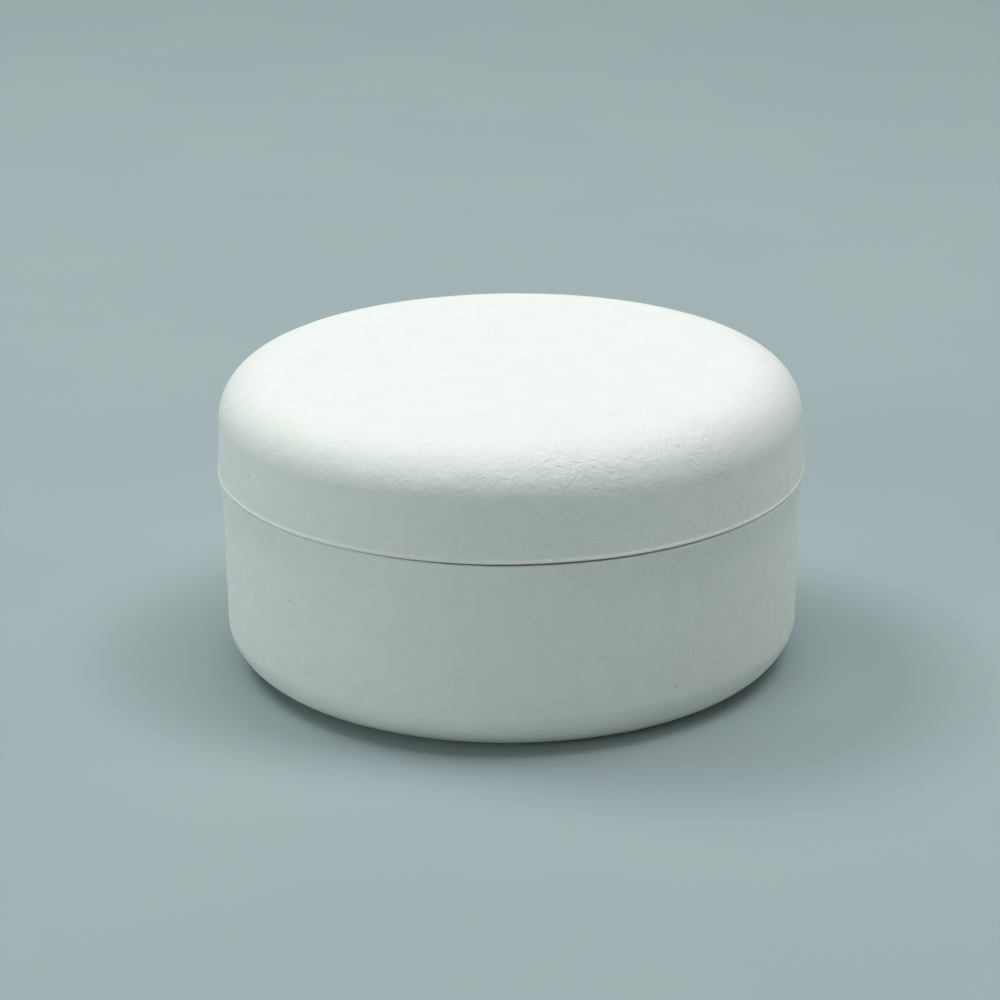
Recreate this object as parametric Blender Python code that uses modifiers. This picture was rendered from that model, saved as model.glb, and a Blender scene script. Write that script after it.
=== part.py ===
"""Shaving soap puck in a round two-part moulded-fibre box.

Metres, +Z up. The origin is the middle of the face that the box stands on, so z is
the height above the table. Every piece is turned about Z: its section is worked out
from the driving sizes and spun with a Screw modifier.
"""

import math

import bmesh
import bpy
from mathutils import Matrix, Vector

# ---------------------------------------------------------------- driving sizes
GAP = 0.0003                   # clearance left between pieces that touch
SEAM_GAP = 0.0004              # open crack between the lid and the base
BOX_HEIGHT = 0.0440

LID_EDGE_Z = 0.02865           # trimmed edge of the lid when it is closed
LID_LIP_RADIUS = 0.04287       # widest point of the whole box
LID_SKIRT_RADIUS = 0.04272     # skirt just above the lip
LID_TOP_RADIUS = 0.0424        # skirt where the shoulder starts
LID_SHOULDER_WIDTH = 0.0084
LID_SHOULDER_DROP = 0.0072
LID_LIP_RISE = 0.0006          # height over which the skirt flares into the lip
LID_WALL = 0.0012

BASE_RIM_Z = LID_EDGE_Z - SEAM_GAP
BASE_RIM_RADIUS = 0.04275
BASE_FLARE_RISE = 0.0065       # height over which the wall spreads to the rim
BASE_WALL_RADIUS = 0.0422      # wall just below that flare
BASE_FOOT_RADIUS = 0.04215     # wall just above the rounded foot
BASE_FOOT_WIDTH = 0.00605
BASE_FOOT_RISE = 0.00598
FOOT_POWER = 1.8               # 2 is a true ellipse; less is a straighter slope
BASE_WALL = 0.0011
BASE_FLOOR = 0.0012
PANEL_RADIUS = 0.0290          # raised middle panel of the underside
PANEL_SLOPE = 0.0015
PANEL_RISE = 0.0008

NECK_RADIUS = 0.04075          # outside of the neck ring
NECK_WALL = 0.0011
NECK_BOTTOM_Z = 0.0064
NECK_TOP_Z = 0.0356

PUCK_RADIUS = 0.0381           # a three inch puck
PUCK_HEIGHT = 0.0300
PUCK_TOP_ROUND = 0.0022
PUCK_BOTTOM_ROUND = 0.0014
PUCK_DISH = 0.0005             # the cast face sinks a little in the middle
PUCK_DISH_RADIUS = 0.0330

PAPER_THICKNESS = 0.0003
UNDERLAY_RADIUS = 0.0365
LEAF_RADIUS = 0.0372

EDGE_ROUND = 0.00025           # softened corner of a trimmed fibre edge
TURN_STEPS = 72

# ------------------------------------------------------------ stacked positions
PANEL_TOP_Z = PANEL_RISE + BASE_FLOOR
UNDERLAY_Z = PANEL_TOP_Z + GAP
PUCK_Z = UNDERLAY_Z + PAPER_THICKNESS + GAP
PUCK_TOP_Z = PUCK_Z + PUCK_HEIGHT
LEAF_Z = PUCK_TOP_Z + GAP

# Linear base colour, roughness.
MATERIALS = {
    "white_fibre": ((0.86, 0.88, 0.86), 0.92),
    "brown_fibre": ((0.42, 0.31, 0.21), 0.95),
    "soap": ((0.90, 0.87, 0.78), 0.48),
    "waxed_paper": ((0.80, 0.76, 0.66), 0.55),
    "glassine": ((0.86, 0.85, 0.80), 0.40),
}


def clear_scene():
    for obj in list(bpy.data.objects):
        bpy.data.objects.remove(obj, do_unlink=True)


def make_collection(name):
    collection = bpy.data.collections.new(name)
    bpy.context.scene.collection.children.link(collection)
    return collection


def make_material(name):
    colour, roughness = MATERIALS[name]
    material = bpy.data.materials.new(name)
    material.use_nodes = True
    shader = material.node_tree.nodes["Principled BSDF"]
    shader.inputs["Base Color"].default_value = (*colour, 1.0)
    shader.inputs["Roughness"].default_value = roughness
    shader.inputs["Metallic"].default_value = 0.0
    return material


# -------------------------------------------------------------------- sections
def corner(centre, size, start, end, segments, power=2.0):
    """Points along an elliptical corner, from one angle to another in degrees."""
    points = []
    for step in range(segments + 1):
        angle = math.radians(start + (end - start) * step / segments)
        across, up = math.cos(angle), math.sin(angle)
        radius = centre[0] + size[0] * math.copysign(abs(across) ** (2.0 / power), across)
        height = centre[1] + size[1] * math.copysign(abs(up) ** (2.0 / power), up)
        points.append((radius, height))
    return points


def ease(start, end, segments):
    """Points from one place to another that leave and arrive upright."""
    points = []
    for step in range(segments + 1):
        share = step / segments
        swell = (1.0 - math.cos(math.pi * share)) / 2.0
        radius = start[0] + (end[0] - start[0]) * swell
        height = start[1] + (end[1] - start[1]) * share
        points.append((radius, height))
    return points


def flare(inset, segments):
    """The spread of the base wall, from the plain wall up to the rim, set in by a distance."""
    points = []
    for step in range(segments + 1):
        share = step / segments
        radius = BASE_WALL_RADIUS + (BASE_RIM_RADIUS - BASE_WALL_RADIUS) * share ** 2
        height = BASE_RIM_Z - EDGE_ROUND - BASE_FLARE_RISE * (1.0 - share)
        points.append((radius - inset, height))
    return points


def lid_section():
    """From the middle of the top, down the outside, round the lip and back inside."""
    shoulder_z = BOX_HEIGHT - LID_SHOULDER_DROP
    lip_top_z = LID_EDGE_Z + LID_LIP_RISE
    lip_z = LID_EDGE_Z + EDGE_ROUND
    inner_lip = LID_SKIRT_RADIUS - LID_WALL
    inner_top = LID_TOP_RADIUS - LID_WALL
    shoulder = corner(
        (LID_TOP_RADIUS - LID_SHOULDER_WIDTH, shoulder_z),
        (LID_SHOULDER_WIDTH, LID_SHOULDER_DROP),
        90, 0, 8,
    )
    lip = ease((LID_SKIRT_RADIUS, lip_top_z), (LID_LIP_RADIUS, lip_z), 4)
    edge = corner((LID_LIP_RADIUS - EDGE_ROUND, lip_z), (EDGE_ROUND, EDGE_ROUND), 0, -90, 2)
    inside_edge = corner((inner_lip + EDGE_ROUND, lip_z), (EDGE_ROUND, EDGE_ROUND), 270, 180, 2)
    inside_shoulder = corner(
        (LID_TOP_RADIUS - LID_SHOULDER_WIDTH, shoulder_z),
        (inner_top - LID_TOP_RADIUS + LID_SHOULDER_WIDTH, LID_SHOULDER_DROP - LID_WALL),
        0, 90, 6,
    )
    return (
        [(0.0, BOX_HEIGHT)] + shoulder + lip + edge[1:] + inside_edge
        + inside_shoulder + [(0.0, BOX_HEIGHT - LID_WALL)]
    )


def base_section():
    """From the middle of the floor, up the inside, over the rim and down to the foot."""
    foot_centre = (BASE_FOOT_RADIUS - BASE_FOOT_WIDTH, BASE_FOOT_RISE)
    inner_rim = BASE_RIM_RADIUS - BASE_WALL
    rim_z = BASE_RIM_Z - EDGE_ROUND
    inside_foot = corner(
        foot_centre,
        (BASE_FOOT_WIDTH - BASE_WALL, BASE_FOOT_RISE - BASE_FLOOR),
        -90, 0, 6, FOOT_POWER,
    )
    inside_edge = corner((inner_rim + EDGE_ROUND, rim_z), (EDGE_ROUND, EDGE_ROUND), 180, 90, 2)
    outside_edge = corner((BASE_RIM_RADIUS - EDGE_ROUND, rim_z), (EDGE_ROUND, EDGE_ROUND), 90, 0, 2)
    foot = corner(foot_centre, (BASE_FOOT_WIDTH, BASE_FOOT_RISE), 0, -90, 8, FOOT_POWER)
    panel_edge = PANEL_RADIUS + PANEL_SLOPE
    return (
        [(0.0, PANEL_TOP_Z), (PANEL_RADIUS, PANEL_TOP_Z), (panel_edge, BASE_FLOOR)]
        + inside_foot + flare(BASE_WALL, 4) + inside_edge[1:]
        + outside_edge + flare(0.0, 4)[-2::-1] + foot
        + [(panel_edge - BASE_FLOOR / 2, 0.0), (PANEL_RADIUS - BASE_FLOOR / 2, PANEL_RISE)]
        + [(0.0, PANEL_RISE)]
    )


def neck_section():
    """A plain sleeve with a rounded lead-in that the lid slides over."""
    inner = NECK_RADIUS - NECK_WALL
    lead = 2 * EDGE_ROUND
    top = corner((NECK_RADIUS - lead, NECK_TOP_Z - lead), (lead, lead), 90, 0, 4)
    return top + [(NECK_RADIUS, NECK_BOTTOM_Z), (inner, NECK_BOTTOM_Z), (inner, NECK_TOP_Z)]


def puck_section():
    """A cast cake of soap: dished face, soft top edge, straight side, flat bottom."""
    top_edge = corner(
        (PUCK_RADIUS - PUCK_TOP_ROUND, PUCK_TOP_Z - PUCK_TOP_ROUND),
        (PUCK_TOP_ROUND, PUCK_TOP_ROUND),
        90, 0, 5,
    )
    bottom_edge = corner(
        (PUCK_RADIUS - PUCK_BOTTOM_ROUND, PUCK_Z + PUCK_BOTTOM_ROUND),
        (PUCK_BOTTOM_ROUND, PUCK_BOTTOM_ROUND),
        0, -90, 3,
    )
    dish = []
    for step in range(5):
        share = step / 5
        depth = PUCK_DISH * (1.0 + math.cos(math.pi * share)) / 2.0
        dish.append((PUCK_DISH_RADIUS * share, PUCK_TOP_Z - depth))
    return dish + [(PUCK_DISH_RADIUS, PUCK_TOP_Z)] + top_edge + bottom_edge + [(0.0, PUCK_Z)]


def paper_section(radius, bottom_z):
    top_z = bottom_z + PAPER_THICKNESS
    return [(0.0, top_z), (radius, top_z), (radius, bottom_z), (0.0, bottom_z)]


# ---------------------------------------------------------------------- pieces
def turn(name, section, material_name, collection, closed_loop=False):
    """Spins a section about Z into one closed solid."""
    mesh = bpy.data.meshes.new(name)
    outline = bmesh.new()
    points = [outline.verts.new(Vector((radius, 0.0, height))) for radius, height in section]
    for first, second in zip(points, points[1:]):
        outline.edges.new((first, second))
    if closed_loop:
        outline.edges.new((points[-1], points[0]))
    outline.to_mesh(mesh)
    outline.free()
    piece = bpy.data.objects.new(name, mesh)
    collection.objects.link(piece)
    piece.matrix_world = Matrix.Identity(4)
    spin = piece.modifiers.new("Turn", "SCREW")
    spin.axis = "Z"
    spin.angle = math.tau
    spin.steps = TURN_STEPS
    spin.render_steps = TURN_STEPS
    spin.use_merge_vertices = True
    spin.merge_threshold = 0.00001
    spin.use_smooth_shade = True
    mesh.materials.append(make_material(material_name))
    return piece


def make_base(collection):
    """The lower shell, the neck glued inside it and the paper under the soap."""
    base = turn("base_cup", base_section(), "white_fibre", collection)
    neck = turn("neck_ring", neck_section(), "brown_fibre", collection, closed_loop=True)
    underlay = turn(
        "waxed_paper_underlay",
        paper_section(UNDERLAY_RADIUS, UNDERLAY_Z),
        "waxed_paper",
        collection,
    )
    neck.parent = base
    underlay.parent = base


def make_lid(collection):
    """The upper shell, which pulls straight up off the neck."""
    turn("lid", lid_section(), "white_fibre", collection)


def make_soap(collection):
    """The cake of soap and the loose leaf on it, both free to lift along Z."""
    puck = turn("soap_puck", puck_section(), "soap", collection)
    leaf = turn("glassine_leaf", paper_section(LEAF_RADIUS, LEAF_Z), "glassine", collection)
    leaf.parent = puck


def main():
    clear_scene()
    collection = make_collection("shaving_soap_box")
    make_base(collection)
    make_lid(collection)
    make_soap(collection)


main()
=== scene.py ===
import math

import bpy
import numpy as np
from mathutils import Matrix, Vector


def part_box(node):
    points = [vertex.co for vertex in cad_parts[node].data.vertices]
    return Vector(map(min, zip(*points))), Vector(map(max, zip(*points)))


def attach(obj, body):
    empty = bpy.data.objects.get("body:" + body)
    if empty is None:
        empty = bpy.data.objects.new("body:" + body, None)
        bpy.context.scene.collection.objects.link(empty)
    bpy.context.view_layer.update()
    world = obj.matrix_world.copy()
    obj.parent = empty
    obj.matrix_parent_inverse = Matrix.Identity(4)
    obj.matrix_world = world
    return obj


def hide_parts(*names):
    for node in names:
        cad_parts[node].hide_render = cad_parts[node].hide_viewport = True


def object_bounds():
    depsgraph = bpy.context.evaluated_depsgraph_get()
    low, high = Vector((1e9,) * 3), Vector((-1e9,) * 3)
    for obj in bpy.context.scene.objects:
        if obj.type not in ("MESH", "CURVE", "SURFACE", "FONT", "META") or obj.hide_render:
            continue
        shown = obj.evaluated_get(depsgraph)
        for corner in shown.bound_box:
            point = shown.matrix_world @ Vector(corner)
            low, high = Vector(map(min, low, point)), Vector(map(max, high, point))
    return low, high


# Looks of a shaving soap puck in its round moulded-fibre box. Every piece is made in place
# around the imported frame, in metres and +Z up. Names that end in _mm or
# _MM are in millimetres.
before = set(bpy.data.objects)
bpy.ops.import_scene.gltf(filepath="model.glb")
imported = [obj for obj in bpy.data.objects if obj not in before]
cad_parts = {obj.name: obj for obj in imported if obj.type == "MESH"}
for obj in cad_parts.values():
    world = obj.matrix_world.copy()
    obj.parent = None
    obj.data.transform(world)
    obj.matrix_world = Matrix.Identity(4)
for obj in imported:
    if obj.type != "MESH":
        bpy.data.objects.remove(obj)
CAD_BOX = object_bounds()
MM = 0.001

# ---------------------------------------------------------------- sizes, from the frame
LID_LOW, LID_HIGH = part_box("lid")
BASE_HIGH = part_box("base_cup")[1]
NECK_LOW, NECK_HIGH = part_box("neck_ring")
PUCK_LOW, PUCK_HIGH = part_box("soap_puck")
LEAF_LOW, LEAF_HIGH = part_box("glassine_leaf")
UNDERLAY_LOW, UNDERLAY_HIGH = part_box("waxed_paper_underlay")

LID_LIP_RADIUS = LID_HIGH.x
LID_SKIRT_RADIUS = LID_LIP_RADIUS - 0.15 * MM
LID_TOP_RADIUS = LID_LIP_RADIUS - 0.47 * MM
LID_SHOULDER_WIDTH = 8.4 * MM
LID_SHOULDER_DROP = 7.2 * MM
LID_LIP_RISE = 0.68 * MM
LID_WALL = 1.2 * MM

BASE_RIM_RADIUS = BASE_HIGH.x
BASE_WALL_RADIUS = BASE_RIM_RADIUS - 0.55 * MM
BASE_FOOT_RADIUS = BASE_RIM_RADIUS - 0.60 * MM
FOOT_POWER = 1.8               # 2 is a true ellipse; less is a straighter slope
BASE_FLARE_RISE = 6.5 * MM
BASE_FOOT_WIDTH = 6.05 * MM
BASE_FOOT_RISE = 5.98 * MM
BASE_WALL = 1.1 * MM
BASE_FLOOR = 1.2 * MM
PANEL_RADIUS = 29.0 * MM
PANEL_SLOPE = 1.5 * MM
PANEL_RISE = 0.8 * MM

# The seam is nearly shut, and opens at two places where the dried lid has warped up. Each
# opening has its azimuth, its spread before and after that in degrees, and its width.
SEAM_SHUT = 0.03 * MM
SEAM_OPENINGS = ((-87.0, 27.0, 42.0, 0.22 * MM), (115.0, 35.0, 35.0, 0.12 * MM))
SEAM_FADE = 2.2 * MM           # how far from the seam its waves die out

NECK_WALL = 1.1 * MM
PUCK_TOP_ROUND = 2.2 * MM
PUCK_LOW_ROUND = 1.4 * MM
PUCK_DISH_RADIUS = 33.0 * MM
PUCK_DISH_DEPTH = 0.5 * MM
LEAF_THICKNESS = 0.06 * MM
UNDERLAY_THICKNESS = 0.12 * MM
EDGE_ROUND = 0.25 * MM
EDGE_SIZE = (EDGE_ROUND, EDGE_ROUND)

FIBRE_STEPS = 560              # columns round a fibre shell
PLAIN_STEPS = 288              # columns round the other pieces

# ------------------------------------------------------------- sizes of the looks and stage
ROUGH_PATCH = (12.0 * MM, -38.0 * MM, 38.0 * MM)   # where the lid's felt stands out most
ROUGH_NEAR, ROUGH_FAR = 6.0 * MM, 34.0 * MM        # from there, where it starts and ends fading
FIBRE_TURNS = ((0.3, 0.5, 0.9), (0.9, 1.4, 2.2), (1.7, 0.6, 1.5), (2.4, 1.0, 0.3))
PAPER_FIBRE_TURNS = ((0.0, 0.0, 0.5), (0.0, 0.0, 1.9))
SCREEN_WIRE_SPACING = 0.9 * MM
WAVE_SCALE = 0.314             # the scale at which a wave texture's bands are one unit apart

FLOOR_SIZE = 12.0
BACKDROP_RADIUS = 0.75
BACKDROP_HEIGHT = 1.2
BACKDROP_SIDES = 180
BACKDROP_FADE_TOP = 0.012      # it fades into the floor below this
# heights between which the backdrop's painted glow brightens
BACKDROP_BRIGHTER_FROM, BACKDROP_BRIGHTER_TO = 0.01, 0.35
LIGHT_DISTANCE = 1.3           # from the origin to each light panel
LIGHT_AIM = Vector((0.0, 0.0, 0.02))
CAMERA_PLACE = (0.0, -0.41659, 0.17234)
CAMERA_LENS_MM = 108.0

# ---------------------------------------------------------------------- repeatable noise
def cell_value(x, y, z, seed):
    """A repeatable value from -1 to 1 for each whole-number cell, by a plain integer hash."""
    code = (x * 73856093) ^ (y * 19349663) ^ (z * 83492791) ^ (seed * 2654435761)
    code &= 0xFFFFFFFF
    code = ((code ^ (code >> 15)) * 2246822519) & 0xFFFFFFFF
    code = ((code ^ (code >> 13)) * 3266489917) & 0xFFFFFFFF
    code ^= code >> 16
    return (code & 0xFFFF) / 32767.5 - 1.0


def noise(points, seed):
    """Smooth noise from -1 to 1 at each point, one cell for each unit."""
    whole = np.floor(points).astype(np.int64)
    part = points - whole
    part = part ** 3 * (part * (part * 6.0 - 15.0) + 10.0)
    total = 0.0
    for dx in (0, 1):
        share_x = part[:, 0] if dx else 1.0 - part[:, 0]
        for dy in (0, 1):
            share_y = part[:, 1] if dy else 1.0 - part[:, 1]
            for dz in (0, 1):
                share_z = part[:, 2] if dz else 1.0 - part[:, 2]
                value = cell_value(whole[:, 0] + dx, whole[:, 1] + dy, whole[:, 2] + dz, seed)
                total = total + value * share_x * share_y * share_z
    return total


def layered_noise(points, size, layers, seed):
    """Noise whose largest lumps are size across. Each layer is half the size and height."""
    layer_shift = 17.3         # keeps the cells of two layers from lining up
    total = 0.0
    for layer in range(layers):
        finer = 2.0 ** layer
        total = total + noise(points * (finer / size) + layer_shift * layer, seed + layer) / finer
    return total


def smooth_step(values, low, high):
    """0 up to low and 1 from high on, with a soft step between them."""
    share = np.clip((values - low) / (high - low), 0.0, 1.0)
    return share * share * (3.0 - 2.0 * share)


# ------------------------------------------------------------------------------ sections
# A section is a line of (radius, height) points. rows is how many mesh rows a stretch gets.
OUTSIDE, TRIMMED, INSIDE = 0, 1, 2   # a shell's materials, by where its faces are


def corner(centre, size, start, end, rows, power=2.0):
    """Points along an elliptical corner, from one angle to another in degrees."""
    angles = np.radians(np.linspace(start, end, rows + 1))
    across, up = np.cos(angles), np.sin(angles)
    radii = centre[0] + size[0] * np.sign(across) * np.abs(across) ** (2.0 / power)
    heights = centre[1] + size[1] * np.sign(up) * np.abs(up) ** (2.0 / power)
    return list(zip(radii.tolist(), heights.tolist()))


def straight(start, end, rows):
    """Points along a line, without its first one."""
    across, up = end[0] - start[0], end[1] - start[1]
    shares = np.linspace(0.0, 1.0, rows + 1)[1:]
    return [(start[0] + across * share, start[1] + up * share) for share in shares]


def ease(start, end, rows):
    """Points from one place to another that leave and arrive upright, without the first."""
    across, up = end[0] - start[0], end[1] - start[1]
    points = []
    for share in np.linspace(0.0, 1.0, rows + 1)[1:]:
        swell = (1.0 - math.cos(math.pi * share)) / 2.0
        points.append((start[0] + across * swell, start[1] + up * share))
    return points


def base_flare(inset, rows):
    """The spread of the base wall, from the plain wall up to the rim, set in by a distance."""
    rim_z = BASE_HIGH.z - EDGE_ROUND
    points = []
    for share in np.linspace(0.0, 1.0, rows + 1):
        radius = BASE_WALL_RADIUS + (BASE_RIM_RADIUS - BASE_WALL_RADIUS) * share ** 2
        points.append((radius - inset, rim_z - BASE_FLARE_RISE * (1.0 - share)))
    return points


def lid_section():
    """Top centre, shoulder, skirt, lip, trimmed edge, then back up the inside."""
    top_z = LID_HIGH.z
    shoulder_z = top_z - LID_SHOULDER_DROP
    centre = (LID_TOP_RADIUS - LID_SHOULDER_WIDTH, shoulder_z)
    lip_z = LID_LOW.z + EDGE_ROUND
    lip_top = (LID_SKIRT_RADIUS, LID_LOW.z + LID_LIP_RISE)
    inner_lip = LID_SKIRT_RADIUS - LID_WALL
    outer_size = (LID_SHOULDER_WIDTH, LID_SHOULDER_DROP)
    inner_size = (LID_SHOULDER_WIDTH - LID_WALL, LID_SHOULDER_DROP - LID_WALL)
    flat = [(0.0, top_z)] + straight((0.0, top_z), (centre[0], top_z), rows=34)
    shoulder = corner(centre, outer_size, 90, 0, rows=44)[1:]
    skirt = straight(shoulder[-1], lip_top, rows=20)
    lip = ease(lip_top, (LID_LIP_RADIUS, lip_z), rows=7)
    edge = corner((LID_LIP_RADIUS - EDGE_ROUND, lip_z), EDGE_SIZE, 0, -90, rows=5)[1:]
    cut = straight(edge[-1], (inner_lip + EDGE_ROUND, LID_LOW.z), rows=4)
    inner_edge = corner((inner_lip + EDGE_ROUND, lip_z), EDGE_SIZE, 270, 180, rows=3)[1:]
    inner_skirt = straight(inner_edge[-1], (centre[0] + inner_size[0], shoulder_z), rows=8)
    inner_shoulder = corner(centre, inner_size, 0, 90, rows=16)[1:]
    inner_flat = straight(inner_shoulder[-1], (0.0, top_z - LID_WALL), rows=14)
    outside = flat + shoulder + skirt + lip + edge
    inside = inner_edge + inner_skirt + inner_shoulder + inner_flat
    return [(outside, OUTSIDE), (cut, TRIMMED), (inside, INSIDE)]


def base_section():
    """Floor centre, up the inside, trimmed rim, wall, foot, standing ring, panel."""
    foot_centre = (BASE_FOOT_RADIUS - BASE_FOOT_WIDTH, BASE_FOOT_RISE)
    foot_size = (BASE_FOOT_WIDTH, BASE_FOOT_RISE)
    inner_foot_size = (BASE_FOOT_WIDTH - BASE_WALL, BASE_FOOT_RISE - BASE_FLOOR)
    rim_z = BASE_HIGH.z - EDGE_ROUND
    inner_rim = BASE_RIM_RADIUS - BASE_WALL
    panel_z = PANEL_RISE + BASE_FLOOR
    panel_edge = PANEL_RADIUS + PANEL_SLOPE
    floor = [(0.0, panel_z)] + straight((0.0, panel_z), (PANEL_RADIUS, panel_z), rows=14)
    floor += straight(floor[-1], (panel_edge, BASE_FLOOR), rows=3)
    floor += straight(floor[-1], (foot_centre[0], BASE_FLOOR), rows=3)
    inner_foot = corner(foot_centre, inner_foot_size, -90, 0, rows=10, power=FOOT_POWER)[1:]
    inner_flare = base_flare(BASE_WALL, rows=6)
    inner_wall = straight(inner_foot[-1], inner_flare[0], rows=8) + inner_flare[1:]
    inner_edge = corner((inner_rim + EDGE_ROUND, rim_z), EDGE_SIZE, 180, 90, rows=3)[1:]
    cut = straight(inner_edge[-1], (BASE_RIM_RADIUS - EDGE_ROUND, BASE_HIGH.z), rows=4)
    edge = corner((BASE_RIM_RADIUS - EDGE_ROUND, rim_z), EDGE_SIZE, 90, 0, rows=5)[1:]
    wall = base_flare(0.0, rows=16)[-2::-1]
    wall += straight(wall[-1], (BASE_FOOT_RADIUS, BASE_FOOT_RISE), rows=38)
    foot = corner(foot_centre, foot_size, 0, -90, rows=34, power=FOOT_POWER)[1:]
    ring_in = (panel_edge - BASE_FLOOR / 2, 0.0)
    panel_start = (PANEL_RADIUS - BASE_FLOOR / 2, PANEL_RISE)
    under = straight(foot[-1], ring_in, rows=6) + straight(ring_in, panel_start, rows=3)
    under += straight(panel_start, (0.0, PANEL_RISE), rows=14)
    inside = floor + inner_foot + inner_wall + inner_edge
    return [(inside, INSIDE), (cut, TRIMMED), (edge + wall + foot + under, OUTSIDE)]


def neck_section():
    """A sleeve of rolled board: rounded lead-in, outside, cut bottom edge, inside."""
    outer, inner = NECK_HIGH.x, NECK_HIGH.x - NECK_WALL
    lead = 2 * EDGE_ROUND
    top = corner((outer - lead, NECK_HIGH.z - lead), (lead, lead), 90, 0, rows=5)
    side = straight(top[-1], (outer, NECK_LOW.z + EDGE_ROUND), rows=48)
    low_centre = (outer - EDGE_ROUND, NECK_LOW.z + EDGE_ROUND)
    bottom = corner(low_centre, EDGE_SIZE, 0, -90, rows=3)[1:]
    bottom += straight(bottom[-1], (inner, NECK_LOW.z), rows=3)
    inside = straight(bottom[-1], (inner, NECK_HIGH.z - EDGE_ROUND), rows=48)
    high_centre = (inner + EDGE_ROUND, NECK_HIGH.z - EDGE_ROUND)
    inner_top = corner(high_centre, EDGE_SIZE, 180, 90, rows=3)[1:]
    return [(top + side + bottom + inside + inner_top, OUTSIDE)]


def puck_section():
    """A cast cake of soap: dished face, soft top edge, drafted side, flat bottom."""
    outer, top_z, low_z = PUCK_HIGH.x, PUCK_HIGH.z, PUCK_LOW.z
    top_size, low_size = (PUCK_TOP_ROUND, PUCK_TOP_ROUND), (PUCK_LOW_ROUND, PUCK_LOW_ROUND)
    top_centre = (outer - PUCK_TOP_ROUND, top_z - PUCK_TOP_ROUND)
    low_centre = (outer - PUCK_LOW_ROUND, low_z + PUCK_LOW_ROUND)
    face = []
    for share in np.linspace(0.0, 1.0, 40):
        depth = PUCK_DISH_DEPTH * (1.0 + math.cos(math.pi * share)) / 2.0
        face.append((PUCK_DISH_RADIUS * share, top_z - depth))
    face += straight(face[-1], (top_centre[0], top_z), rows=5)
    top_edge = corner(top_centre, top_size, 90, 0, rows=14)[1:]
    side = straight(top_edge[-1], (outer, low_centre[1]), rows=34)
    low_edge = corner(low_centre, low_size, 0, -90, rows=8)[1:]
    bottom = straight(low_edge[-1], (0.0, low_z), rows=16)
    return [(face + top_edge + side + low_edge + bottom, OUTSIDE)]


def disc_section(low, high, thickness, rows):
    """A flat disc in the middle of its CAD box, from low to high."""
    middle_z = (low.z + high.z) / 2
    top_z, low_z = middle_z + thickness / 2, middle_z - thickness / 2
    top = [(0.0, top_z)] + straight((0.0, top_z), (high.x, top_z), rows)
    bottom = [(high.x, low_z)] + straight((high.x, low_z), (0.0, low_z), rows)
    return [(top + bottom, OUTSIDE)]


# -------------------------------------------------------------------------- turned meshes
def spin(section, around):
    """Each point of a section at each step round Z, one ring after another."""
    spun = np.empty((len(section), len(around), 3))
    spun[:, :, :2] = section[:, None, :1] * around[None, :, :]
    spun[:, :, 2] = section[:, 1:2]
    return spun.reshape(-1, 3)


def turned(name, runs, steps, shape, closed_loop=False):
    """One closed mesh from a section spun about Z. shape(points, normals) moves its points.

    The section comes in runs of points, each with the material of the faces that lead to it.
    An open section starts and ends on the axis, and each of those ends becomes one point.
    """
    line = np.array([point for run, _ in runs for point in run], float)
    finishes = np.array([finish for run, finish in runs for _ in run], np.int32)
    if closed_loop:
        tangent = np.roll(line, -1, axis=0) - np.roll(line, 1, axis=0)
    else:
        tangent = np.gradient(line, axis=0)
    outward = np.stack([-tangent[:, 1], tangent[:, 0]], axis=1)
    shortest = 1e-12           # keeps a doubled point from dividing by zero
    outward /= np.maximum(np.linalg.norm(outward, axis=1, keepdims=True), shortest)
    angles = np.arange(steps) * (math.tau / steps)
    around = np.stack([np.cos(angles), np.sin(angles)], axis=1)

    off_axis = slice(None) if closed_loop else slice(1, -1)
    count = len(line[off_axis])
    points, normals = spin(line[off_axis], around), spin(outward[off_axis], around)
    if not closed_loop:
        points = np.vstack([points, [0.0, 0.0, line[0, 1]], [0.0, 0.0, line[-1, 1]]])
        normals = np.vstack([normals, [0.0, 0.0, outward[0, 1]], [0.0, 0.0, outward[-1, 1]]])
    points = shape(points, normals)

    faces = []
    for row in range(count if closed_loop else count - 1):
        upper, lower = row * steps, (row + 1) % count * steps
        for column in range(steps):
            after = (column + 1) % steps
            faces.append((lower + column, lower + after, upper + after, upper + column))
    if not closed_loop:
        top_pole, last = count * steps, (count - 1) * steps
        for column in range(steps):
            after = (column + 1) % steps
            faces.append((top_pole, column, after))
            faces.append((top_pole + 1, last + after, last + column))
    mesh = bpy.data.meshes.new(name)
    mesh.from_pydata(points.tolist(), [], faces)
    mesh.shade_smooth()
    if not closed_loop:
        face_finishes = np.repeat(finishes[2:-1], steps)
        face_finishes = np.append(face_finishes, np.tile(finishes[[1, -1]], steps))
        mesh.polygons.foreach_set("material_index", face_finishes)
    piece = bpy.data.objects.new(name, mesh)
    bpy.context.scene.collection.objects.link(piece)
    return piece


def fibre_relief(points, seed, patch_angle):
    """Height in metres of pressed pulp: soft lumps, felted grain and a few coarse patches."""
    lump_mm, felt_mm, ridge_mm = 0.020, 0.024, 0.024
    mm = points / MM
    lumps = layered_noise(mm, size=9.0, layers=2, seed=seed) * lump_mm
    felt = layered_noise(mm, size=1.8, layers=2, seed=seed + 10) * felt_mm
    angle = np.arctan2(points[:, 1], points[:, 0])
    toward = 0.5 + 0.5 * np.cos(angle - math.radians(patch_angle))
    spread = layered_noise(mm, size=7.0, layers=2, seed=seed + 20)
    patch = smooth_step(spread + 0.9 * toward, 0.5, 1.5)
    ridges = np.abs(layered_noise(mm, size=1.5, layers=2, seed=seed + 30))
    return (lumps + felt - patch * ridges * ridge_mm) * MM


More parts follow.
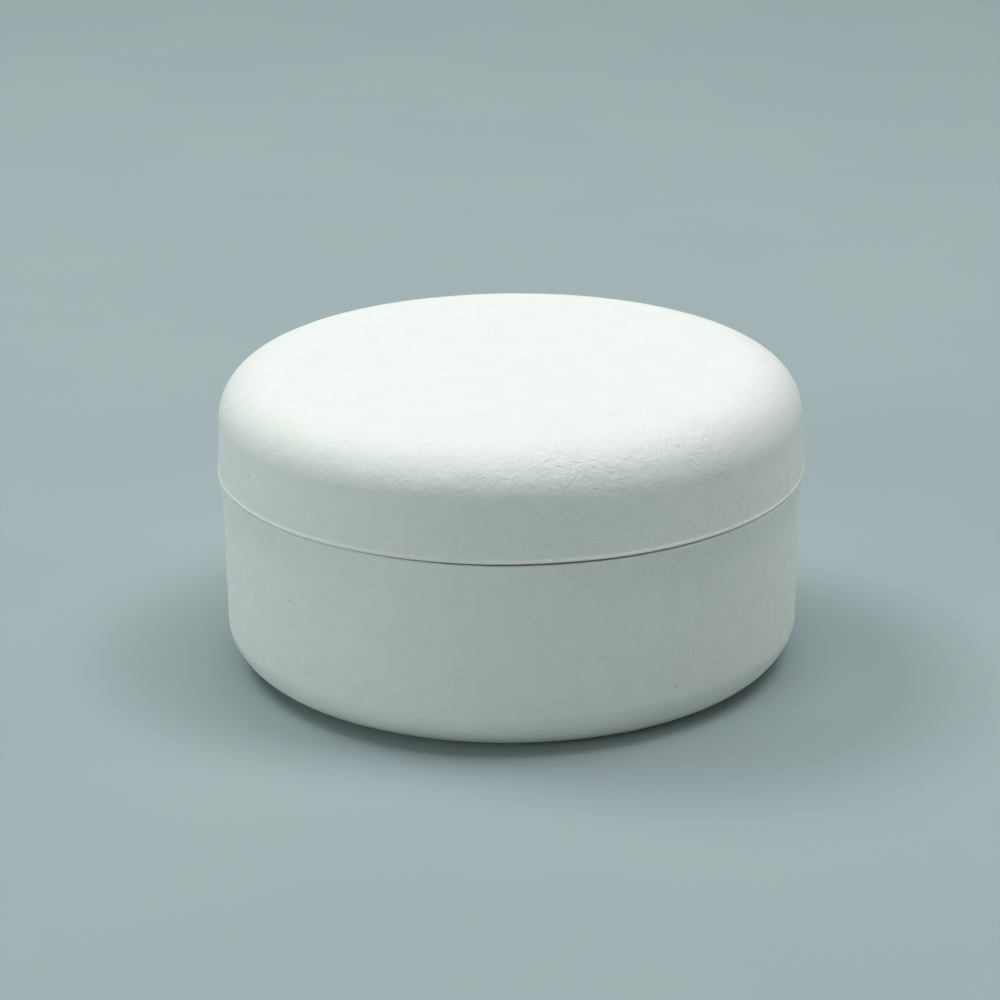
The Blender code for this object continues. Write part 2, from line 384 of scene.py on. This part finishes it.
def seam_wave(points):
    """How far the trimmed edges wander up and down together, at each point's azimuth."""
    height_mm = 0.06
    angle = np.arctan2(points[:, 1], points[:, 0])
    ring = np.stack([np.cos(angle), np.sin(angle), np.zeros_like(angle)], axis=1)
    return layered_noise(ring, size=0.45, layers=3, seed=71) * height_mm * MM


def seam_gap(points):
    """How wide the seam is open at each point's azimuth."""
    angle = np.degrees(np.arctan2(points[:, 1], points[:, 0]))
    gap = np.full(len(points), SEAM_SHUT)
    for azimuth, before, after, width in SEAM_OPENINGS:
        off = (angle - azimuth + 180.0) % 360.0 - 180.0
        gap += width * np.exp(-(off / np.where(off < 0.0, before, after)) ** 2)
    return gap


def shape_lid(points, normals):
    """The lid's relief, and its trimmed edge's waves."""
    away = np.abs(points[:, 2] - LID_LOW.z)
    height = fibre_relief(points, seed=3, patch_angle=-55.0)
    height = height * smooth_step(away, 0.0, EDGE_ROUND * 2)
    moved = points + normals * height[:, None]
    moved[:, 2] += seam_wave(points) * (1.0 - smooth_step(away, 0.0, SEAM_FADE))
    return moved


def shape_base(points, normals):
    """The base's relief, above a flat standing ring, and a rim that follows the lid's edge."""
    away = np.abs(points[:, 2] - BASE_HIGH.z)
    standing = smooth_step(points[:, 2], 0.0, 1.0 * MM) * smooth_step(away, 0.0, EDGE_ROUND * 2)
    height = fibre_relief(points, seed=43, patch_angle=200.0)
    moved = points + normals * (height * standing)[:, None]
    rise = LID_LOW.z - BASE_HIGH.z - seam_gap(points) + seam_wave(points)
    moved[:, 2] += rise * (1.0 - smooth_step(away, 0.0, SEAM_FADE))
    return moved


def shape_neck(points, normals):
    """Rolled board with a butt joint at the back, where its two cut ends meet."""
    grain_mm, joint_depth_mm, joint_width = 0.015, 0.30, 0.35 * MM
    height = layered_noise(points / MM, size=2.5, layers=2, seed=101) * grain_mm * MM
    angle = np.arctan2(points[:, 0], points[:, 1])
    groove = np.exp(-(angle * NECK_HIGH.x / joint_width) ** 2) * joint_depth_mm * MM
    return points + normals * (height - groove)[:, None]


def shape_puck(points, normals):
    """Uneven skin, ripples from the mould and small pits, set just inside the CAD cake."""
    skin_mm, ripple_mm, pit_mm, inset_mm = 0.10, 0.020, 0.12, 0.08
    mm = points / MM
    skin = layered_noise(mm, size=14.0, layers=2, seed=131) * skin_mm
    ripple = layered_noise(mm * [1.0, 1.0, 0.4], size=3.0, layers=2, seed=141) * ripple_mm
    pits = smooth_step(layered_noise(mm, size=1.3, layers=1, seed=151), 0.62, 0.85) * pit_mm
    return points + normals * ((skin + ripple - pits - inset_mm) * MM)[:, None]


def wavy_paper(points, size_mm, height_mm, seed):
    """A disc's points moved up and down together, top and bottom, in soft waves."""
    flat = points / MM * [1.0, 1.0, 0.0]
    moved = points.copy()
    moved[:, 2] += layered_noise(flat, size_mm, layers=2, seed=seed) * height_mm * MM
    return moved


def shape_leaf(points, _normals):
    return wavy_paper(points, size_mm=16.0, height_mm=0.07, seed=171)


def shape_underlay(points, _normals):
    return wavy_paper(points, size_mm=20.0, height_mm=0.04, seed=181)


# ------------------------------------------------------------------------------ materials
class Nodes:
    """A material's node tree, with short ways to add and join its nodes."""

    def __init__(self, name):
        self.material = bpy.data.materials.new(name)
        self.material.use_nodes = True
        self.tree = self.material.node_tree
        self.shader = self.tree.nodes["Principled BSDF"]
        self.place = self.tree.nodes.new("ShaderNodeTexCoord").outputs["Object"]

    def add(self, kind, inputs=None, **settings):
        """A new node. Each of its inputs is given a value, or linked to another node's output."""
        node = self.tree.nodes.new(kind)
        for key, value in settings.items():
            setattr(node, key, value)
        for key, value in (inputs or {}).items():
            if isinstance(value, bpy.types.NodeSocket):
                self.tree.links.new(value, node.inputs[key])
            else:
                node.inputs[key].default_value = value
        return node

    def noise(self, size_mm, detail=2.0, roughness=0.5, distortion=0.0,
              stretch=(1.0, 1.0, 1.0), turn=(0.0, 0.0, 0.0)):
        """Noise with lumps about size_mm across, stretched along the turned axes."""
        scale = [1.0 / (size_mm * MM * share) for share in stretch]
        mapping = {"Vector": self.place, "Rotation": turn, "Scale": scale}
        mapped = self.add("ShaderNodeMapping", mapping)
        texture = {"Vector": mapped.outputs[0], "Scale": 1.0, "Detail": detail,
                   "Roughness": roughness, "Distortion": distortion}
        return self.add("ShaderNodeTexNoise", texture).outputs["Fac"]

    def ramp(self, value, low, high, to_low=0.0, to_high=1.0):
        """A smooth step from to_low, where value is low, to to_high, where it is high."""
        limits = {"Value": value, "From Min": low, "From Max": high,
                  "To Min": to_low, "To Max": to_high}
        node = self.add("ShaderNodeMapRange", limits, interpolation_type="SMOOTHSTEP")
        return node.outputs["Result"]

    def math(self, operation, first, second=0.0):
        return self.add("ShaderNodeMath", {0: first, 1: second}, operation=operation).outputs[0]

    def mix(self, share, first, second, blend="MIX"):
        """Two colours mixed. The numbers are the colour sockets of the Mix node."""
        sockets = {0: share, 6: first, 7: second}
        node = self.add("ShaderNodeMix", sockets, data_type="RGBA", blend_type=blend)
        return node.outputs[2]

    def bump(self, height, depth_mm, under=None):
        """Relief depth_mm deep, laid over the relief under it."""
        inputs = {"Height": height, "Distance": depth_mm * MM, "Strength": 1.0}
        if under is not None:
            inputs["Normal"] = under
        return self.add("ShaderNodeBump", inputs).outputs["Normal"]

    def join(self, output, socket):
        self.tree.links.new(output, self.shader.inputs[socket])

    def set(self, **values):
        """Plain values for the shader's sockets, named with underscores in place of spaces."""
        for key, value in values.items():
            self.shader.inputs[key.replace("_", " ")].default_value = value


def colour(red, green, blue):
    return (red, green, blue, 1.0)


def strands(nodes, size_mm, length, width, turns):
    """Crossed soft lines, as of fibres lying in the surface: 1 on a fibre and 0 off it."""
    total = None
    for turn in turns:
        lines = nodes.noise(
            size_mm, detail=1.0, distortion=0.9, stretch=(length, 1.0, 1.0), turn=turn,
        )
        ridge = nodes.math("ABSOLUTE", nodes.math("SUBTRACT", lines, 0.5))
        line = nodes.ramp(ridge, 0.0, width, to_low=1.0, to_high=0.0)
        total = line if total is None else nodes.math("MAXIMUM", total, line)
    return total


def stray_specks(nodes, size_mm):
    """1 on small round specks, in about a quarter of the cells size_mm across, and 0 off them."""
    cells = nodes.add(
        "ShaderNodeTexVoronoi",
        {"Vector": nodes.place, "Scale": 1.0 / (size_mm * MM), "Randomness": 1.0},
    )
    core = nodes.ramp(cells.outputs["Distance"], 0.020, 0.045, to_low=1.0, to_high=0.0)
    colours = nodes.add("ShaderNodeSeparateColor", {"Color": cells.outputs["Color"]})
    return nodes.math("MULTIPLY", core, nodes.ramp(colours.outputs["Red"], 0.70, 0.74))


def screen_print(nodes, depth_mm, under):
    """The print of a square wire screen, laid over the relief under it."""
    for turn in (0.0, math.pi / 2):
        mapping = {"Vector": nodes.place, "Rotation": (0.0, 0.0, turn)}
        mapped = nodes.add("ShaderNodeMapping", mapping)
        texture = {"Vector": mapped.outputs[0], "Scale": WAVE_SCALE / SCREEN_WIRE_SPACING}
        wires = nodes.add("ShaderNodeTexWave", texture)
        under = nodes.bump(wires.outputs["Fac"], depth_mm, under)
    return under


def fibre_material(name, pale, shade, speck, speck_size_mm, grain,
                   fibre_tone=0.10, screen_mm=0.0):
    """Pressed pulp: faint mottling, felted fibres, fine grain, stray specks.

    grain scales the depth of the relief, fibre_tone is how far single fibres darken, and
    screen_mm is the depth of the forming screen's print on a piece's inner side.
    """
    felt_mm, fibre_mm, fine_mm = 0.22 * grain, 0.011 * grain, 0.016 * grain
    nodes = Nodes(name)
    mottle = nodes.noise(3.2, detail=3.0, roughness=0.6)
    base = nodes.mix(nodes.ramp(mottle, 0.32, 0.68), shade, pale)
    fibres = strands(nodes, size_mm=0.60, length=2.2, width=0.12, turns=FIBRE_TURNS)
    base = nodes.mix(nodes.math("MULTIPLY", fibres, fibre_tone), base, shade, "MULTIPLY")
    specks = stray_specks(nodes, speck_size_mm)
    base = nodes.mix(nodes.math("MULTIPLY", specks, 0.45), base, speck)
    nodes.join(base, "Base Color")
    felt = nodes.noise(1.0, detail=3.0, roughness=0.6, distortion=0.9)
    span = nodes.add(
        "ShaderNodeVectorMath", {0: nodes.place, 1: ROUGH_PATCH}, operation="DISTANCE",
    )
    off_patch = span.outputs["Value"]
    patch = nodes.ramp(off_patch, ROUGH_NEAR, ROUGH_FAR, to_low=1.0, to_high=0.52)
    uneven = nodes.ramp(nodes.noise(9.0, detail=2.0), 0.35, 0.60, to_low=0.55, to_high=1.0)
    rough_places = nodes.math("MULTIPLY", uneven, patch)
    relief = nodes.bump(nodes.math("MULTIPLY", felt, rough_places), felt_mm)
    relief = nodes.bump(nodes.math("MULTIPLY", fibres, rough_places), fibre_mm, relief)
    relief = nodes.bump(nodes.noise(0.30, detail=2.0, roughness=0.6), fine_mm, relief)
    if screen_mm:
        relief = screen_print(nodes, screen_mm, relief)
    nodes.join(relief, "Normal")
    nodes.join(nodes.ramp(felt, 0.25, 0.75, to_low=0.56, to_high=0.68), "Roughness")
    nodes.set(Specular_IOR_Level=0.5, Sheen_Weight=0.03, Sheen_Roughness=0.6)
    return nodes.material


def soap_material():
    """Hard tallow soap: ivory, faintly swirled, waxy, a little light gets into it."""
    pale, shade = colour(0.87, 0.83, 0.72), colour(0.80, 0.74, 0.60)
    fleck = colour(0.93, 0.91, 0.84)
    nodes = Nodes("soap_ivory")
    swirl = nodes.noise(11.0, detail=3.0, roughness=0.55, distortion=1.6)
    base = nodes.mix(nodes.ramp(swirl, 0.35, 0.65), shade, pale)
    flecks = nodes.ramp(nodes.noise(0.8, detail=2.0), 0.66, 0.74, to_low=0.0, to_high=0.25)
    nodes.join(nodes.mix(flecks, base, fleck), "Base Color")
    worn = nodes.noise(2.4, detail=2.0)
    nodes.join(nodes.ramp(worn, 0.3, 0.7, to_low=0.38, to_high=0.56), "Roughness")
    relief = nodes.bump(nodes.noise(1.8, detail=3.0, roughness=0.6), 0.05)
    relief = nodes.bump(nodes.noise(0.35, detail=1.0), 0.008, relief)
    nodes.join(relief, "Normal")
    nodes.set(Subsurface_Weight=0.25, Subsurface_Scale=1.2 * MM, Specular_IOR_Level=0.45)
    return nodes.material


def paper_material(name, pale, shade, roughness, opacity):
    """Thin treated paper: cloudy fibre, soft creases, a slight gloss."""
    nodes = Nodes(name)
    cloud = nodes.noise(2.2, detail=3.0, roughness=0.6)
    base = nodes.mix(nodes.ramp(cloud, 0.3, 0.7), shade, pale)
    fibres = strands(nodes, size_mm=0.5, length=6.0, width=0.05, turns=PAPER_FIBRE_TURNS)
    base = nodes.mix(nodes.math("MULTIPLY", fibres, 0.12), base, shade, "MULTIPLY")
    nodes.join(base, "Base Color")
    crease = nodes.noise(9.0, detail=2.0, roughness=0.4, distortion=0.8)
    off_crease = nodes.math("ABSOLUTE", nodes.math("SUBTRACT", crease, 0.5))
    folds = nodes.ramp(off_crease, 0.0, 0.05, to_low=1.0, to_high=0.0)
    relief = nodes.bump(folds, 0.03)
    relief = nodes.bump(cloud, 0.012, relief)
    nodes.join(relief, "Normal")
    rougher = nodes.ramp(cloud, 0.3, 0.7, to_low=roughness, to_high=roughness + 0.15)
    nodes.join(rougher, "Roughness")
    nodes.set(Alpha=opacity, Specular_IOR_Level=0.5)
    return nodes.material


def floor_material():
    """A plain matt table, faintly uneven in tone."""
    pale, shade = colour(0.356, 0.424, 0.440), colour(0.348, 0.415, 0.433)
    nodes = Nodes("floor_grey_blue")
    cloud = nodes.noise(60.0, detail=3.0)
    nodes.join(nodes.mix(nodes.ramp(cloud, 0.3, 0.7), shade, pale), "Base Color")
    nodes.set(Roughness=0.9, Specular_IOR_Level=0.1)
    return nodes.material


# --------------------------------------------------------------------------------- pieces
def finish_piece(piece, materials, body, node):
    """Give a piece its materials, the body that it rides on and the CAD node that it replaces."""
    for material in materials:
        piece.data.materials.append(material)
    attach(piece, body)
    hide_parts(node)


def make_shells():
    """The lid and the base cup, with one material each for the outside, the cut and the inside."""
    pale, shade = colour(0.885, 0.905, 0.880), colour(0.866, 0.887, 0.861)
    # The cut faces are coloured a darker brown than the pulp. Part of this is a rawer cut edge,
    # and part is painted shade and warm bounce light for the seam crack between lid and base.
    seam_shaded_cut_pale, seam_shaded_cut_dark = colour(0.56, 0.48, 0.38), colour(0.44, 0.37, 0.29)
    speck = colour(0.42, 0.39, 0.33)
    outside = fibre_material(
        "white_moulded_fibre", pale, shade, speck, speck_size_mm=6.0, grain=1.0,
    )
    cut = fibre_material(
        "trimmed_edge_painted_seam_shade", seam_shaded_cut_pale, seam_shaded_cut_dark, speck, speck_size_mm=2.5, grain=2.2,
    )
    inside = fibre_material(
        "white_fibre_screen_side", pale, shade, speck, speck_size_mm=6.0, grain=1.8,
        screen_mm=0.035,
    )
    shell_materials = [outside, cut, inside]
    lid = turned("moulded_lid", lid_section(), FIBRE_STEPS, shape_lid)
    finish_piece(lid, shell_materials, "lid", "lid")
    base = turned("moulded_base", base_section(), FIBRE_STEPS, shape_base)
    finish_piece(base, shell_materials, "base", "base_cup")


def make_neck():
    pale, shade = colour(0.47, 0.345, 0.23), colour(0.37, 0.265, 0.17)
    speck = colour(0.13, 0.08, 0.05)
    brown = fibre_material(
        "brown_board", pale, shade, speck, speck_size_mm=1.7, grain=2.6, fibre_tone=0.45,
    )
    neck = turned("board_neck", neck_section(), PLAIN_STEPS, shape_neck, closed_loop=True)
    finish_piece(neck, [brown], "base", "neck_ring")


def make_soap():
    puck = turned("shaving_soap_cake", puck_section(), PLAIN_STEPS, shape_puck)
    finish_piece(puck, [soap_material()], "soap", "soap_puck")


def make_papers():
    """The loose leaf on the soap's face, and the waxed disc under the soap."""
    leaf_section = disc_section(LEAF_LOW, LEAF_HIGH, LEAF_THICKNESS, rows=34)
    leaf = turned("loose_glassine_leaf", leaf_section, PLAIN_STEPS, shape_leaf)
    pale, shade = colour(0.90, 0.89, 0.84), colour(0.83, 0.82, 0.76)
    glassine = paper_material("glassine", pale, shade, roughness=0.36, opacity=0.50)
    finish_piece(leaf, [glassine], "leaf", "glassine_leaf")
    under_section = disc_section(UNDERLAY_LOW, UNDERLAY_HIGH, UNDERLAY_THICKNESS, rows=24)
    under = turned("waxed_underlay", under_section, PLAIN_STEPS, shape_underlay)
    pale, shade = colour(0.80, 0.75, 0.63), colour(0.72, 0.66, 0.53)
    waxed = paper_material("waxed_paper", pale, shade, roughness=0.42, opacity=1.0)
    finish_piece(under, [waxed], "base", "waxed_paper_underlay")


# ---------------------------------------------------------------------------------- stage
def make_floor():
    bpy.ops.mesh.primitive_plane_add(size=FLOOR_SIZE, location=(0.0, 0.0, CAD_BOX[0].z))
    floor = bpy.context.object
    floor.name = "studio_floor"
    floor.data.materials.append(floor_material())


def backdrop_material():
    """A glowing screen, not lit paper: painted light makes it a little brighter higher up, and it
    fades into the floor at its foot.
    """
    low, high = colour(0.315, 0.386, 0.392), colour(0.412, 0.485, 0.491)
    nodes = Nodes("backdrop_painted_glow")
    height = nodes.add("ShaderNodeSeparateXYZ", {"Vector": nodes.place}).outputs["Z"]
    # painted light: the glow brightens with height, as on a lit paper sweep
    painted_brighter = nodes.ramp(height, BACKDROP_BRIGHTER_FROM, BACKDROP_BRIGHTER_TO)
    nodes.join(nodes.mix(painted_brighter, low, high), "Emission Color")
    nodes.join(nodes.ramp(height, 0.0, BACKDROP_FADE_TOP), "Alpha")
    nodes.set(Base_Color=colour(0.0, 0.0, 0.0), Emission_Strength=1.0, Specular_IOR_Level=0.0)
    return nodes.material


def make_backdrop():
    """A round screen about the set, which the camera sees but which neither lights nor shades."""
    bpy.ops.mesh.primitive_cylinder_add(
        vertices=BACKDROP_SIDES, radius=BACKDROP_RADIUS, depth=BACKDROP_HEIGHT,
        end_fill_type="NOTHING",
    )
    backdrop = bpy.context.object
    backdrop.name = "studio_backdrop"
    for vertex in backdrop.data.vertices:
        vertex.co.z += BACKDROP_HEIGHT / 2
    backdrop.visible_diffuse = False
    backdrop.visible_glossy = False
    backdrop.visible_transmission = False
    backdrop.visible_shadow = False
    backdrop.data.materials.append(backdrop_material())


def add_panel(name, azimuth, elevation, size, power, tint):
    """A round soft panel on a dome about the box, facing its middle.

    Azimuth turns from +X to +Y and elevation rises from the floor, both in degrees.
    """
    data = bpy.data.lights.new(name, "AREA")
    data.shape = "DISK"
    data.size = size
    data.energy = power
    data.color = tint
    panel = bpy.data.objects.new(name, data)
    turn, rise = math.radians(azimuth), math.radians(elevation)
    level = math.cos(rise)
    way = Vector((math.cos(turn) * level, math.sin(turn) * level, math.sin(rise)))
    panel.location = way * LIGHT_DISTANCE
    panel.rotation_euler = (panel.location - LIGHT_AIM).to_track_quat("Z", "Y").to_euler()
    bpy.context.scene.collection.objects.link(panel)


def make_lights():
    """Panels and even air, with powers and tints fitted to the photo's light and shadow."""
    add_panel("upper_left_front", 144.0, 56.0, 0.55, 4.2, (1.0, 0.985, 0.935))
    add_panel("upper_left_back", 160.0, 60.0, 0.55, 3.1, (0.893, 0.958, 1.0))
    add_panel("upper_right_front", -3.0, 62.0, 0.55, 1.9, (0.881, 0.956, 1.0))
    add_panel("upper_right_back", 9.0, 70.0, 0.55, 4.3, (0.970, 1.0, 1.0))
    add_panel("overhead_soft", 0.0, 89.0, 0.45, 2.4, (1.0, 0.838, 0.960))
    add_panel("overhead_back", 90.0, 75.0, 0.45, 1.2, (0.809, 1.0, 0.821))
    add_panel("low_front_left_fill", 226.0, 17.0, 0.60, 3.5, (0.917, 1.0, 0.925))
    add_panel("low_back_fill", 90.0, 12.0, 0.60, 0.85, (0.80, 0.90, 1.0))
    add_panel("low_right_fill", 0.0, 17.0, 0.60, 1.6, (0.997, 1.0, 0.801))
    world = bpy.data.worlds.new("studio_air")
    world.use_nodes = True
    sky = world.node_tree.nodes["Background"]
    sky.inputs["Color"].default_value = colour(0.843, 1.0, 0.880)
    sky.inputs["Strength"].default_value = 0.119
    bpy.context.scene.world = world


def make_camera():
    """A long lens in front of the box and above it, looking down at its middle.

    Its place, lens and angles (in radians) were fitted to the box's outline in the photo.
    """
    pitch, yaw, roll = 0.3454, -0.0039, -0.0094
    ahead = math.cos(pitch)
    forward = Vector((math.sin(yaw) * ahead, math.cos(yaw) * ahead, -math.sin(pitch)))
    level = Vector((math.cos(yaw), -math.sin(yaw), 0.0))
    upright = level.cross(forward)
    right = level * math.cos(roll) + upright * math.sin(roll)
    up = upright * math.cos(roll) - level * math.sin(roll)
    data = bpy.data.cameras.new("photo_camera")
    data.sensor_width = 36.0
    data.lens = CAMERA_LENS_MM
    data.clip_start = 0.01
    camera = bpy.data.objects.new("photo_camera", data)
    camera.location = CAMERA_PLACE
    camera.rotation_euler = Matrix((right, up, -forward)).transposed().to_euler()
    bpy.context.scene.collection.objects.link(camera)
    bpy.context.scene.camera = camera


make_camera()
make_shells()
make_neck()
make_soap()
make_papers()
make_floor()
make_backdrop()
make_lights()
bpy.context.scene.view_settings.view_transform = "Standard"
